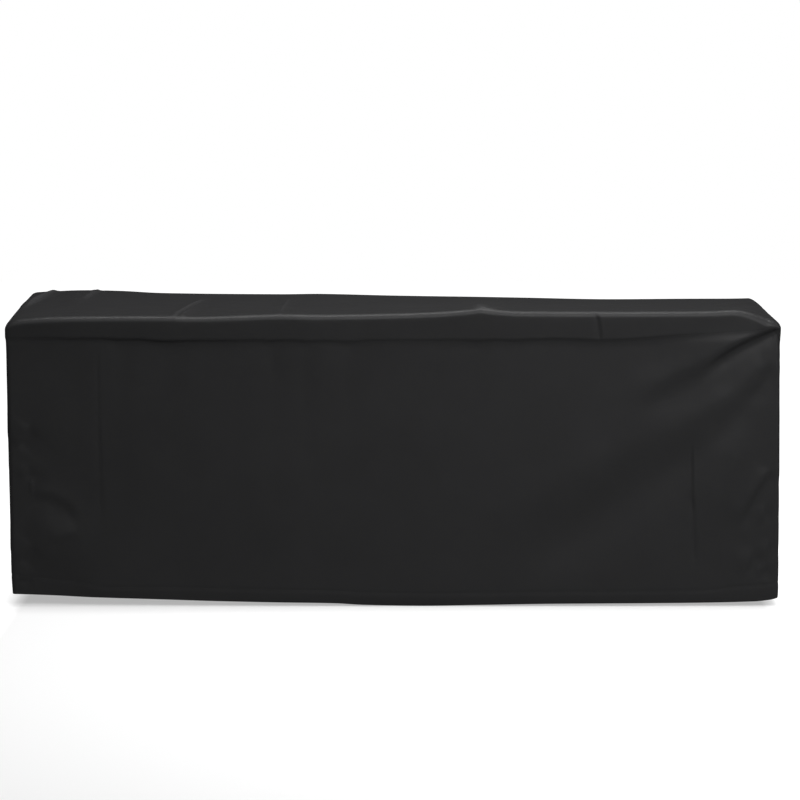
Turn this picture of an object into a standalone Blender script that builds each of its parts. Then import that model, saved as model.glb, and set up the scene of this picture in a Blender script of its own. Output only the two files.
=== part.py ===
"""Fitted cloth cover for a digital piano, in the shape in which it stands over the instrument.

Five sewn panels: a top whose border turns down over the edges, a front drop, a back drop and two end
drops. Metres, +Z up, the front towards -Y. The origin is on the underside of the top, in its middle,
where the cloth rests on the instrument.
"""

import bpy
import bmesh
import math
from collections import namedtuple

# Driving sizes
WIDTH = 1.410           # end to end, outside
DEPTH = 0.380           # front to back, outside
CLOTH = 0.002           # thickness of a panel
CORNER_RADIUS = 0.018   # upright corners, seen from above
EDGE_ROLL = 0.014       # how the cloth turns over the top edges
SEAM_GAP = 0.0006       # between two panels that are sewn together

# Seams and lip
SEAM_RISE = 0.004       # height over which the pull of the cross seam dies away above it
SEAM_FALL = 0.013       # and below it
CORNER_DRAW = 0.0014    # how far the stitches pull the upright corner seams in
CORNER_SPREAD = 0.006   # half width of that pull
LEAN = 0.004            # how far the drops swing to the right at their hems
LIP_TURN = 0.006        # height over which the border turns out above the cross seam
FOLD_START = 0.016      # height over which the folds of a drop grow under the cross seam

# Divisions of the mesh
ROLL_STEPS = 3          # over the turn of a top edge
DROP_STEPS = 2          # from there down to the cross seam
PLAIN_LEFT = -0.560      # the columns stand wide apart between these places, and closer outside them
PLAIN_RIGHT = 0.455
LEFT_STEPS = 4
PLAIN_STEPS = 20
RIGHT_STEPS = 15
DEPTH_STEPS = 6
FRONT_ROWS = ((0.00, 0.27, 8), (0.27, 1.00, 10))
BACK_ROWS = ((0.00, 0.20, 2), (0.20, 1.00, 5))
END_ROWS = ((0.00, 0.24, 3), (0.24, 1.00, 7))

Point = namedtuple("Point", "place height")

# Height of the top along its front edge and its back edge, above the middle of the top, by place
# across the width. The cover sits a little twisted: its back stands up at the left and sinks at the
# right.
FRONT_EDGE = (
    Point(-0.70, -0.0110), Point(-0.64, -0.0065), Point(-0.56, -0.0045), Point(-0.35, -0.0040),
    Point(-0.20, 0.0005), Point(-0.13, -0.0010), Point(0.00, 0.0010), Point(0.085, 0.0040),
    Point(0.158, 0.0075), Point(0.23, 0.0045), Point(0.60, 0.0045), Point(0.70, 0.0030),
)
BACK_EDGE = (
    Point(-0.70, 0.0085), Point(-0.61, 0.0125), Point(-0.53, 0.0112), Point(-0.45, 0.0070),
    Point(-0.22, 0.0045), Point(-0.14, 0.0052), Point(0.00, 0.0018), Point(0.25, -0.0025),
    Point(0.40, -0.0056), Point(0.56, -0.0048), Point(0.65, -0.0044), Point(0.70, -0.0030),
)

# Height of the cross seam round the cover, by place along the outline from the middle of the front.
SEAM_FRONT = (
    Point(-0.70, -0.0450), Point(-0.64, -0.0440), Point(-0.56, -0.0440), Point(-0.35, -0.0485),
    Point(-0.20, -0.0475), Point(-0.13, -0.0495), Point(0.00, -0.0485), Point(0.23, -0.0475),
    Point(0.30, -0.0460), Point(0.38, -0.0485), Point(0.45, -0.0455), Point(0.52, -0.0395),
    Point(0.60, -0.0345), Point(0.66, -0.0300), Point(0.70, -0.0270),
)
SEAM_END = 0.0430       # depth of the seam under the top along the back and at the back corners

# Height of the hem along the front: it hangs lowest a little right of the middle.
HEM_FRONT = (
    Point(-0.70, -0.5165), Point(-0.64, -0.5188), Point(-0.56, -0.5222), Point(-0.45, -0.5257),
    Point(-0.34, -0.5291), Point(-0.22, -0.5318), Point(-0.11, -0.5336), Point(-0.06, -0.5364),
    Point(0.05, -0.5381), Point(0.16, -0.5366), Point(0.27, -0.5347), Point(0.42, -0.5336),
    Point(0.56, -0.5325), Point(0.66, -0.5300), Point(0.69, -0.5268), Point(0.70, -0.5240),
)
HEM_BACK = 0.5260       # depth of the hem along the back

# How far the border stands proud of the front drop, and how far the stitches of the cross seam pull it
# in, by place across the width. Both die away towards the right, where the cloth is drawn smooth.
LIP_PROUD = (
    Point(-0.70, 0.0010), Point(-0.56, 0.0020), Point(-0.42, 0.0040), Point(-0.27, 0.0026),
    Point(-0.08, 0.0038), Point(0.05, 0.0026), Point(0.15, 0.0038), Point(0.36, 0.0028),
    Point(0.46, 0.0020), Point(0.54, 0.0010), Point(0.63, 0.0008), Point(0.70, 0.0000),
)
SEAM_DRAW = (
    Point(-0.70, 0.0020), Point(-0.60, 0.0028), Point(-0.40, 0.0036), Point(-0.25, 0.0026),
    Point(-0.08, 0.0030), Point(0.05, 0.0020), Point(0.15, 0.0026), Point(0.36, 0.0022),
    Point(0.46, 0.0018), Point(0.54, 0.0006), Point(0.60, 0.0002), Point(0.70, 0.0004),
)

# Folds of a drop: each runs along a bowed line from a first to a second point. `ridge` lifts the line
# itself, `step` lifts its left side and lowers its right side, and both die away over the shares
# `fade` of the run. On the front a point's place is measured across the width from the middle.
Fold = namedtuple("Fold", "place0 height0 place1 height1 bow width0 width1 ridge step fade0 fade1")

FRONT_FOLDS = (
    # drag folds that run down from the right top corner
    Fold(0.520, -0.131, 0.698, -0.029, 0.009, 0.013, 0.007, 0.0006, 0.0048, 0.40, 0.08),
    Fold(0.420, -0.174, 0.600, -0.083, 0.004, 0.022, 0.015, 0.0005, 0.0018, 0.40, 0.35),
    Fold(0.470, -0.112, 0.690, -0.030, 0.012, 0.034, 0.014, 0.0028, 0.0000, 0.45, 0.15),
    Fold(0.577, -0.195, 0.680, -0.088, -0.020, 0.016, 0.007, 0.0006, 0.0016, 0.35, 0.20),
    Fold(0.430, -0.320, 0.640, -0.162, 0.009, 0.036, 0.016, 0.0006, 0.0026, 0.35, 0.25),
    # narrower folds down the right edge
    Fold(0.618, -0.412, 0.692, -0.284, 0.004, 0.011, 0.009, 0.0006, 0.0026, 0.25, 0.20),
    Fold(0.660, -0.498, 0.697, -0.412, 0.003, 0.009, 0.008, 0.0005, 0.0020, 0.25, 0.25),
    # broad valley and swell to the right of the middle
    Fold(0.250, -0.470, 0.575, -0.205, 0.010, 0.060, 0.045, -0.0045, 0.0000, 0.35, 0.30),
    Fold(0.570, -0.420, 0.655, -0.190, 0.010, 0.040, 0.032, 0.0040, 0.0000, 0.35, 0.35),
    # dents down the left edge
    Fold(-0.672, -0.316, -0.562, -0.370, 0.016, 0.012, 0.014, 0.0000, 0.0024, 0.25, 0.35),
    Fold(-0.692, -0.246, -0.645, -0.198, 0.000, 0.014, 0.012, -0.0025, 0.0010, 0.25, 0.35),
    Fold(-0.690, -0.462, -0.652, -0.420, 0.000, 0.012, 0.012, -0.0022, 0.0010, 0.25, 0.35),
    Fold(-0.640, -0.420, -0.560, -0.415, 0.004, 0.012, 0.014, -0.0018, 0.0008, 0.35, 0.35),
)

BACK_FOLDS = (
    Fold(0.420, -0.200, 0.685, -0.050, 0.012, 0.034, 0.014, 0.0020, 0.0040, 0.40, 0.10),
    Fold(-0.685, -0.050, -0.500, -0.210, -0.010, 0.012, 0.030, 0.0020, -0.0036, 0.10, 0.40),
    Fold(-0.230, -0.500, -0.180, -0.130, 0.012, 0.050, 0.040, 0.0045, 0.0000, 0.25, 0.40),
    Fold(0.170, -0.520, 0.210, -0.160, -0.010, 0.055, 0.040, -0.0050, 0.0000, 0.20, 0.40),
)

LEFT_FOLDS = (
    Fold(-0.020, -0.505, 0.030, -0.120, 0.008, 0.050, 0.035, -0.0055, 0.0000, 0.15, 0.40),
    Fold(-0.165, -0.060, -0.040, -0.230, 0.006, 0.010, 0.028, 0.0012, -0.0028, 0.10, 0.45),
)

RIGHT_FOLDS = (
    Fold(-0.170, -0.040, -0.050, -0.210, 0.006, 0.010, 0.026, 0.0015, -0.0036, 0.10, 0.45),
    Fold(0.050, -0.510, 0.020, -0.150, 0.008, 0.048, 0.035, -0.0050, 0.0000, 0.15, 0.40),
)

# Folds of the top, in plan: place across the width and place in depth. They lift and lower its height.
TOP_FOLDS = (
    Fold(-0.376, -0.185, -0.352, 0.130, 0.006, 0.012, 0.016, 0.0018, 0.0016, 0.05, 0.35),
    Fold(-0.202, -0.185, -0.196, 0.160, -0.004, 0.010, 0.014, 0.0012, 0.0014, 0.05, 0.40),
    Fold(-0.690, -0.020, -0.640, 0.175, 0.006, 0.012, 0.010, 0.0030, 0.0020, 0.30, 0.10),
    Fold(-0.605, -0.060, -0.575, 0.175, 0.000, 0.016, 0.014, 0.0022, 0.0014, 0.35, 0.10),
    Fold(0.165, -0.185, 0.188, -0.040, 0.000, 0.016, 0.016, 0.0022, 0.0000, 0.05, 0.50),
    Fold(0.585, -0.150, 0.690, 0.050, 0.006, 0.018, 0.012, 0.0016, 0.0020, 0.30, 0.15),
)

# The top sinks towards its front corners, where nothing holds it up.
Sink = namedtuple("Sink", "side depth reach_across")
CORNER_SINKS = (Sink(1, 0.0235, 0.072), Sink(-1, 0.0060, 0.030))
SINK_BEND = 6           # how sharply the sink steepens at the corner itself

HALF_WIDTH = WIDTH / 2
HALF_DEPTH = DEPTH / 2
STRAIGHT_X = HALF_WIDTH - CORNER_RADIUS
STRAIGHT_Y = HALF_DEPTH - CORNER_RADIUS
CORNER_ARC = CORNER_RADIUS * math.pi / 2
OUTLINE = 4 * (STRAIGHT_X + STRAIGHT_Y + CORNER_ARC)
RINGS = 1 + ROLL_STEPS + DROP_STEPS

# Middle of each drop along the outline, which runs from the middle of the front to the right
FRONT_MIDDLE = 0.0
RIGHT_MIDDLE = STRAIGHT_X + CORNER_ARC + STRAIGHT_Y
BACK_MIDDLE = OUTLINE / 2
LEFT_MIDDLE = -RIGHT_MIDDLE


def clamp(value, low=0.0, high=1.0):
    return max(low, min(high, value))


def ease(share):
    """From 0 to 1 with level ends."""
    share = clamp(share)
    return share * share * (3 - 2 * share)


def read_line(points, place):
    """Height of a smooth curve through a table of points."""
    if place <= points[0].place:
        return points[0].height
    if place >= points[-1].place:
        return points[-1].height
    last = len(points) - 1
    i = next(k for k in range(last) if points[k + 1].place >= place)

    def slope(k):
        before, after = points[max(k - 1, 0)], points[min(k + 1, last)]
        return (after.height - before.height) / (after.place - before.place)

    start, end = points[i], points[i + 1]
    span = end.place - start.place
    t = (place - start.place) / span
    return (
        (2 * t ** 3 - 3 * t ** 2 + 1) * start.height
        + (t ** 3 - 2 * t ** 2 + t) * span * slope(i)
        + (3 * t ** 2 - 2 * t ** 3) * end.height
        + (t ** 3 - t ** 2) * span * slope(i + 1)
    )


def fold_height(fold, place, height):
    """What one fold adds at a point of its panel."""
    run_x = fold.place1 - fold.place0
    run_z = fold.height1 - fold.height0
    length = math.hypot(run_x, run_z)
    x = place - fold.place0
    z = height - fold.height0
    t = (x * run_x + z * run_z) / length ** 2
    if not 0 < t < 1:
        return 0.0
    side = (z * run_x - x * run_z) / length - fold.bow * 4 * t * (1 - t)
    across = side / (fold.width0 + (fold.width1 - fold.width0) * t)
    strength = ease(t / fold.fade0) * ease((1 - t) / fold.fade1)
    rise = fold.ridge * math.exp(-across ** 2)
    tilt = fold.step * across * math.exp((1 - across ** 2) / 2)
    return strength * (rise + tilt)


def wrap(u):
    """Distance along the outline, kept within half a turn of the middle of the front."""
    return (u + OUTLINE / 2) % OUTLINE - OUTLINE / 2


def outline(u):
    """Point of the rounded outline in plan at a distance along it, and its outward direction."""
    u = wrap(u)
    side = 1 if u >= 0 else -1
    rest = abs(u)
    if rest <= STRAIGHT_X:
        return (side * rest, -HALF_DEPTH), (0.0, -1.0)
    rest -= STRAIGHT_X
    if rest <= CORNER_ARC:
        angle = rest / CORNER_RADIUS
        turn = (side * math.sin(angle), -math.cos(angle))
        return corner_point(side, -1, turn), turn
    rest -= CORNER_ARC
    if rest <= 2 * STRAIGHT_Y:
        return (side * HALF_WIDTH, rest - STRAIGHT_Y), (float(side), 0.0)
    rest -= 2 * STRAIGHT_Y
    if rest <= CORNER_ARC:
        angle = rest / CORNER_RADIUS
        turn = (side * math.cos(angle), math.sin(angle))
        return corner_point(side, 1, turn), turn
    rest -= CORNER_ARC
    return (side * (STRAIGHT_X - rest), HALF_DEPTH), (0.0, 1.0)


def corner_point(side_x, side_y, turn):
    return (side_x * STRAIGHT_X + CORNER_RADIUS * turn[0], side_y * STRAIGHT_Y + CORNER_RADIUS * turn[1])


def share_of_depth(y):
    """0 at the front edge, 1 at the back edge."""
    return clamp((y + HALF_DEPTH) / DEPTH)


def top_relief(x, y):
    back = share_of_depth(y)
    height = (1 - back) * read_line(FRONT_EDGE, x) + back * read_line(BACK_EDGE, x)
    height += sum(fold_height(fold, x, y) for fold in TOP_FOLDS)
    for sink in CORNER_SINKS:
        inward = (HALF_WIDTH - sink.side * x) / sink.reach_across
        fall = 0.5 * (1 - back) + 0.5 * (1 - back) ** SINK_BEND
        height -= sink.depth * fall * clamp(1 - inward) ** 2
    return height


def top_height(x, y):
    """Height of the cloth's outer face over the top."""
    return CLOTH + top_relief(x, y) - top_relief(0.0, 0.0)


def seam_height(u):
    """Height of the cross seam at a distance along the outline."""
    (x, y), _ = outline(u)
    back = share_of_depth(y)
    return (1 - back) * read_line(SEAM_FRONT, x) - back * (SEAM_END - read_line(BACK_EDGE, x) / 2)


def hem_height(u):
    (x, y), _ = outline(u)
    back = share_of_depth(y)
    return (1 - back) * read_line(HEM_FRONT, x) - back * HEM_BACK


def drop_offset(u, z):
    """How far the cloth stands out from the plain outline, at a distance along it and a height."""
    u = wrap(u)
    (x, y), _ = outline(u)
    above = z - seam_height(u)
    front = 1 - share_of_depth(y)
    weight = 0.4 + 0.6 * front
    spread_of_pull = SEAM_RISE if above > 0 else SEAM_FALL
    offset = -weight * read_line(SEAM_DRAW, x) * math.exp(-(above / spread_of_pull) ** 2)
    offset += weight * read_line(LIP_PROUD, x) * ease(above / LIP_TURN)
    corner = STRAIGHT_X + CORNER_ARC / 2
    for seam in (corner, -corner, BACK_MIDDLE - corner, corner - BACK_MIDDLE):
        pull = math.exp(-((u - seam) / CORNER_SPREAD) ** 2)
        offset -= CORNER_DRAW * pull * ease(1 - above / LIP_TURN)
    growth = ease(-above / FOLD_START)
    for middle, folds in (
        (FRONT_MIDDLE, FRONT_FOLDS), (BACK_MIDDLE, BACK_FOLDS),
        (LEFT_MIDDLE, LEFT_FOLDS), (RIGHT_MIDDLE, RIGHT_FOLDS),
    ):
        offset += growth * sum(fold_height(fold, wrap(u - middle), z) for fold in folds)
    return offset


def drop_point(u, z):
    (x, y), (out_x, out_y) = outline(u)
    offset = drop_offset(u, z)
    lean = LEAN * clamp((seam_height(u) - z) / HEM_BACK)
    return (x + out_x * offset + lean, y + out_y * offset, z)


def spread(runs):
    """Places along a line, from runs of (from, to, number of equal steps)."""
    places = [runs[0][0]]
    for start, end, steps in runs:
        places += [start + (end - start) * (k + 1) / steps for k in range(steps)]
    return places


COLUMNS = spread((
    (-STRAIGHT_X, PLAIN_LEFT, LEFT_STEPS),
    (PLAIN_LEFT, PLAIN_RIGHT, PLAIN_STEPS),
    (PLAIN_RIGHT, STRAIGHT_X, RIGHT_STEPS),
))
DEPTHS = spread(((-STRAIGHT_Y, STRAIGHT_Y, DEPTH_STEPS),))
HALF_CORNER = [CORNER_ARC / 2 * k / RINGS for k in range(1, RINGS + 1)]


def drop_columns(middle, places):
    """Distances along the outline of a drop's columns, out to the middle of the corners beside it."""
    before = [middle + places[0] - step for step in reversed(HALF_CORNER)]
    after = [middle + places[-1] + step for step in HALF_CORNER]
    columns = before + [middle + place for place in places] + after
    columns[0] += SEAM_GAP / 2
    columns[-1] -= SEAM_GAP / 2
    return columns


def ring_shape(ring):
    """Reach outward and fall of a ring of the border, in rolls and in drops.

    Ring 0 is the edge of the flat, the next rings go round the turn, and the last ones go down.
    """
    angle = math.pi / 2 * clamp((ring - 1) / ROLL_STEPS)
    drop = clamp((ring - 1 - ROLL_STEPS) / DROP_STEPS)
    return angle, drop


def border_place(columns, index):
    """Ring that a row or column of the top's grid belongs to, its side, and its place on the flat."""
    last = len(columns) - 1
    if index < RINGS:
        return RINGS - index, -1, columns[0]
    if index > RINGS + last:
        return index - RINGS - last, 1, columns[last]
    return 0, 0, columns[index - RINGS]


def corner_turn(ring_x, ring_y):
    """Share of a corner's quarter turn, from facing along X to facing along Y."""
    if ring_x >= ring_y:
        return 0.5 * ring_y / ring_x
    return 1 - 0.5 * ring_x / ring_y


def top_point(i, j):
    """Point of the top panel at a column and a row of its grid."""
    ring_x, side_x, x = border_place(COLUMNS, i)
    ring_y, side_y, y = border_place(DEPTHS, j)
    ring = max(ring_x, ring_y)
    if ring == 0:
        return (x, y, top_height(x, y))
    turn = corner_turn(ring_x, ring_y) * math.pi / 2
    out = (side_x * math.cos(turn), side_y * math.sin(turn))
    if ring_x == 0:
        out = (0.0, float(side_y))
    if ring_y == 0:
        out = (float(side_x), 0.0)
    angle, drop = ring_shape(ring)
    u = outline_distance(x, y, out)
    edge_x = x + out[0] * CORNER_RADIUS
    edge_y = y + out[1] * CORNER_RADIUS
    edge_top = top_height(edge_x, edge_y)
    seam = seam_height(u) + SEAM_GAP / 2
    roll = min(EDGE_ROLL, 0.8 * (edge_top - seam))
    reach = CORNER_RADIUS - roll + roll * math.sin(angle)
    px = x + out[0] * reach
    py = y + out[1] * reach
    z = top_height(px, py) - roll * (1 - math.cos(angle))
    z += drop * (seam - z)
    offset = drop_offset(u, z) * math.sin(angle)
    return (px + out[0] * offset, py + out[1] * offset, z)


def outline_distance(x, y, out):
    """Distance along the outline of the point that lies outward of a point of the flat."""
    side = 1 if x >= 0 else -1
    if out[0] == 0.0:
        return x if y < 0 else BACK_MIDDLE - x
    if out[1] == 0.0:
        return side * (RIGHT_MIDDLE + y)
    angle = math.atan2(abs(out[0]), abs(out[1])) * CORNER_RADIUS
    if y < 0:
        return side * (STRAIGHT_X + angle)
    return side * (BACK_MIDDLE - STRAIGHT_X - angle)


def fabric(name, colour, roughness):
    material = bpy.data.materials.new(name)
    material.use_nodes = True
    shader = material.node_tree.nodes["Principled BSDF"]
    shader.inputs["Base Color"].default_value = (*colour, 1.0)
    shader.inputs["Roughness"].default_value = roughness
    shader.inputs["Metallic"].default_value = 0.0
    return material


def sew_panel(name, columns, rows, place_point, material, collection):
    """A grid of the given columns and rows, moved onto the panel's shape and given its thickness."""
    mesh = bpy.data.meshes.new(name)
    bm = bmesh.new()
    bmesh.ops.create_grid(bm, x_segments=columns - 1, y_segments=rows - 1, size=1.0)
    for vertex in bm.verts:
        i = round((vertex.co.x + 1) / 2 * (columns - 1))
        j = round((vertex.co.y + 1) / 2 * (rows - 1))
        vertex.co = place_point(i, j)
    bm.to_mesh(mesh)
    bm.free()
    mesh.shade_smooth()
    panel = bpy.data.objects.new(name, mesh)
    panel.data.materials.append(material)
    collection.objects.link(panel)
    shell = panel.modifiers.new("Cloth", "SOLIDIFY")
    shell.thickness = CLOTH
    shell.offset = -1.0
    return panel


def sew_drop(name, middle, places, row_runs, material, collection):
    """A drop, from the cross seam down to the hem."""
    columns = drop_columns(middle, places)
    shares = spread(row_runs)
    shares.reverse()

    def place_point(i, j):
        seam = seam_height(columns[i]) - SEAM_GAP / 2
        hem = hem_height(columns[i])
        return drop_point(columns[i], seam + (hem - seam) * shares[j])

    return sew_panel(name, len(columns), len(shares), place_point, material, collection)


def main():
    for old in list(bpy.data.objects):
        bpy.data.objects.remove(old, do_unlink=True)
    cover = bpy.data.collections.new("Piano cover")
    bpy.context.scene.collection.children.link(cover)

    top_cloth = fabric("Top cloth", (0.020, 0.020, 0.021), 0.62)
    drop_cloth = fabric("Drop cloth", (0.014, 0.014, 0.015), 0.72)

    sew_panel(
        "top_panel", len(COLUMNS) + 2 * RINGS, len(DEPTHS) + 2 * RINGS, top_point, top_cloth, cover
    )
    sew_drop("front_panel", FRONT_MIDDLE, COLUMNS, FRONT_ROWS, drop_cloth, cover)
    back_columns = [-place for place in reversed(COLUMNS)]
    sew_drop("back_panel", BACK_MIDDLE, back_columns, BACK_ROWS, drop_cloth, cover)
    sew_drop("right_end_panel", RIGHT_MIDDLE, DEPTHS, END_ROWS, drop_cloth, cover)
    sew_drop("left_end_panel", LEFT_MIDDLE, DEPTHS, END_ROWS, drop_cloth, cover)


if __name__ == "__main__":
    main()
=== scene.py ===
"""Fitted cloth cover for a digital piano: its panels as thin sewn cloth, its hem stitches and its studio.

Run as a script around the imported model. Metres, +Z up, the front towards -Y.
"""

import math
from collections import namedtuple

import bpy
import numpy as np
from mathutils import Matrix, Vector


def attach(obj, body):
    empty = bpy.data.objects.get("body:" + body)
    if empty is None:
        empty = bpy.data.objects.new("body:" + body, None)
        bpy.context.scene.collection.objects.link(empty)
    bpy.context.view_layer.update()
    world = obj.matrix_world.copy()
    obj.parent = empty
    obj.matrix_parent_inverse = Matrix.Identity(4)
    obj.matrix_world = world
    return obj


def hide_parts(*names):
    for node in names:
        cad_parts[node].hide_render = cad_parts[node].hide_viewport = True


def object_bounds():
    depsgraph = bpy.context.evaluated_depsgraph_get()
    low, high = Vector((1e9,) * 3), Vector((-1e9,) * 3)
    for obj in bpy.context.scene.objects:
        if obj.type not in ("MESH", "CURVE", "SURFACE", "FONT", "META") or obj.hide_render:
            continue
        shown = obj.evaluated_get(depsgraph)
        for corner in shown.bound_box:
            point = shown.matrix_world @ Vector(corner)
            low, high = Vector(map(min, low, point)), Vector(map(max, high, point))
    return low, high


bl_info = {
    "name": "Piano Cover",
    "version": (1, 0, 0),
    "blender": (4, 5, 0),
    "location": "View3D > Sidebar > Piano Cover",
    "description": "Sews the panels of a fitted piano cover over its solid model and sets its studio",
    "category": "Add Mesh",
}

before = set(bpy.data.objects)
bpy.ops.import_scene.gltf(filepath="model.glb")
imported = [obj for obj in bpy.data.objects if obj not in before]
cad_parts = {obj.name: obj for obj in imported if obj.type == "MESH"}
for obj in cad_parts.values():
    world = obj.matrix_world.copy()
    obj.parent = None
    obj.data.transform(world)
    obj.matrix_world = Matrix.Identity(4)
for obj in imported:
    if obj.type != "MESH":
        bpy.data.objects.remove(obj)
CAD_BOX = [[float(value) for value in corner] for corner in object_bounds()]

# Driving sizes of the cover, as in the solids
WIDTH = 1.410           # end to end, outside
DEPTH = 0.380           # front to back, outside
TOP_CLOTH = 0.002       # how high the outer face of the top stands over the instrument
CORNER_RADIUS = 0.018   # upright corners, seen from above

# Turns of the edges, seams, folds and hem
EDGE_ROLL = 0.012       # how the cloth turns over the top edges
CORNER_ROLL = 0.018     # the wider turn of the edges at the right
ROLL_GROWS = (0.600, 0.690)     # places across the width between which it widens
ROLL_LIMIT = 0.8        # largest share of the border that the turn may take
BACK_PULL = 0.4         # share of the front's pull at the seam that the back has
SEAM_FALL = 0.0045      # height over which the drop falls back under the border
SEAM_RECOVER = 0.150    # and over which it comes out again
CORNER_DRAW = 0.0010    # how far the stitches pull the upright corner seams in
CORNER_SPREAD = 0.0035  # half width of that pull
CORNER_START = 0.030    # height over which that pull grows under the cross seam
CORNER_SQUARE = 6.0     # how square the upright corners are under the turn of the edge; 2 is round
LEAN = 0.004            # how far the drops swing to the right at their hems
FOLD_START = 0.016      # height over which the folds of a drop grow under the cross seam
DRAG_REACH = 7.0        # how far a drag reaches to its sides, in its widths
DRAG_SINKS = 0.6        # how much more a drag sinks at its right than it rises at its left
MARK_REACH = 3.5        # how far a mark at the edge reaches, in its widths
HEM_TUCK = 0.0012       # how far the hem turns in at its edge
HEM_ALLOWANCE = 0.0020  # how far the turned-in cloth reaches past its stitches
HEM_GROOVE_REACH = 0.0022   # half the height of the groove along the hem's stitches
FULL_HIGHLIGHT_RIDGE = 0.0024        # ridge height of a crease of the top at which its painted highlight is full
HIGHLIGHT_START = 0.009       # distance behind the front edge over which that painted highlight grows to full
SMOOTH_ANGLE = 50       # degrees up to which the cloth is shaded smooth

HALF_WIDTH = WIDTH / 2
HALF_DEPTH = DEPTH / 2
STRAIGHT_X = HALF_WIDTH - CORNER_RADIUS
STRAIGHT_Y = HALF_DEPTH - CORNER_RADIUS
CORNER_ARC = CORNER_RADIUS * math.pi / 2
OUTLINE = 4 * (STRAIGHT_X + STRAIGHT_Y + CORNER_ARC)

# Middle of each drop along the outline, which runs from the middle of the front to the right
FRONT_MIDDLE = 0.0
RIGHT_MIDDLE = STRAIGHT_X + CORNER_ARC + STRAIGHT_Y
BACK_MIDDLE = OUTLINE / 2
LEFT_MIDDLE = -RIGHT_MIDDLE

# Grid of the cloth: runs of (from, to, size of a step). The columns are shared by the top and the
# long drops, and stand closer at the creases and at the right corner.
COLUMN_RUNS = (
    (-STRAIGHT_X, -0.6400, 0.0030), (-0.6400, -0.5460, 0.0048), (-0.5460, -0.5280, 0.0015),
    (-0.5280, -0.4150, 0.0056), (-0.4150, -0.3500, 0.0020), (-0.3500, -0.2200, 0.0058),
    (-0.2200, -0.1900, 0.0020), (-0.1900, 0.1300, 0.0059), (0.1300, 0.2000, 0.0025),
    (0.2000, 0.3600, 0.0060), (0.3600, 0.3900, 0.0025), (0.3900, 0.5330, 0.0048),
    (0.5330, 0.5560, 0.0018), (0.5560, STRAIGHT_X, 0.0030),
)
DEPTH_RUNS = (
    (-STRAIGHT_Y, -0.1100, 0.0026), (-0.1100, 0.1200, 0.0072), (0.1200, STRAIGHT_Y, 0.0040),
)
ROLL_RINGS = 9          # over the turn of a top edge
BORDER_RINGS = 10       # from there down to the cross seam
BORDER_CROWDING = 1.7   # how the last rings close up towards the seam

# Share of a drop from the cross seam to the hem, in runs of (from, to, number of steps)
LONG_ROWS = ((0.000, 0.024, 8), (0.024, 0.260, 34), (0.260, 0.920, 56), (0.920, 1.000, 14))
END_ROWS = ((0.000, 0.024, 8), (0.024, 0.260, 30), (0.260, 0.920, 56), (0.920, 1.000, 14))
HEM_FOLD_STEPS = 6      # round the folded edge of the hem
STITCH_SHARE = 0.8      # length of a stitch, in pitches
HEM_INNER_STEPS = 5     # up its turned-in side

Point = namedtuple("Point", "place height")

# Height of the top along its front edge and its back edge, above the middle of the top, by place
# across the width. The cover sits a little twisted: its back stands up at the left and sinks at the
# right.
FRONT_EDGE = (
    Point(-0.70, -0.0110), Point(-0.64, -0.0055), Point(-0.56, -0.0032), Point(-0.42, -0.0022),
    Point(-0.35, -0.0034), Point(-0.20, 0.0010), Point(-0.13, 0.0000), Point(0.00, 0.0022),
    Point(0.085, 0.0055), Point(0.158, 0.0105), Point(0.23, 0.0068), Point(0.56, 0.0064),
    Point(0.645, 0.0092), Point(0.70, 0.0056),
)
BACK_EDGE = (
    Point(-0.70, 0.0085), Point(-0.61, 0.0125), Point(-0.53, 0.0112), Point(-0.45, 0.0070),
    Point(-0.22, 0.0045), Point(-0.14, 0.0052), Point(0.00, 0.0018), Point(0.25, -0.0025),
    Point(0.40, -0.0056), Point(0.56, -0.0048), Point(0.65, -0.0044), Point(0.70, -0.0030),
)

# Height of the cross seam round the cover, by place along the outline from the middle of the front.
SEAM_FRONT = (
    Point(-0.70, -0.0450), Point(-0.64, -0.0440), Point(-0.56, -0.0440), Point(-0.35, -0.0485),
    Point(-0.20, -0.0475), Point(-0.13, -0.0495), Point(0.00, -0.0485), Point(0.23, -0.0475),
    Point(0.30, -0.0460), Point(0.38, -0.0485), Point(0.45, -0.0455), Point(0.52, -0.0395),
    Point(0.60, -0.0345), Point(0.66, -0.0300), Point(0.70, -0.0270),
)
SEAM_END = 0.0430       # depth of the seam under the top along the back and at the back corners

# Height of the hem along the front: it hangs lowest a little right of the middle.
HEM_FRONT = (
    Point(-0.70, -0.5165), Point(-0.64, -0.5188), Point(-0.56, -0.5222), Point(-0.45, -0.5257),
    Point(-0.34, -0.5291), Point(-0.22, -0.5318), Point(-0.11, -0.5336), Point(-0.06, -0.5364),
    Point(0.05, -0.5381), Point(0.16, -0.5366), Point(0.27, -0.5347), Point(0.42, -0.5336),
    Point(0.56, -0.5325), Point(0.66, -0.5300), Point(0.69, -0.5268), Point(0.70, -0.5240),
)
HEM_BACK = 0.5260       # depth of the hem along the back

# How far the border stands proud of the front drop, and how far the drop falls back under it, by
# place across the width. Both die away towards the right, where the cloth is drawn smooth.
LIP_PROUD = (
    Point(-0.70, 0.0006), Point(-0.60, 0.0020), Point(-0.42, 0.0032), Point(-0.27, 0.0024),
    Point(-0.08, 0.0020), Point(0.05, 0.0014), Point(0.15, 0.0022), Point(0.36, 0.0022),
    Point(0.50, 0.0014), Point(0.54, 0.0005), Point(0.58, 0.0000), Point(0.70, 0.0000),
)
SEAM_DRAW = (
    Point(-0.70, 0.0014), Point(-0.60, 0.0040), Point(-0.40, 0.0050), Point(-0.25, 0.0038),
    Point(-0.08, 0.0022), Point(0.05, 0.0012), Point(0.15, 0.0024), Point(0.36, 0.0028),
    Point(0.50, 0.0020), Point(0.54, 0.0008), Point(0.58, 0.0000), Point(0.70, 0.0000),
)

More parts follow.
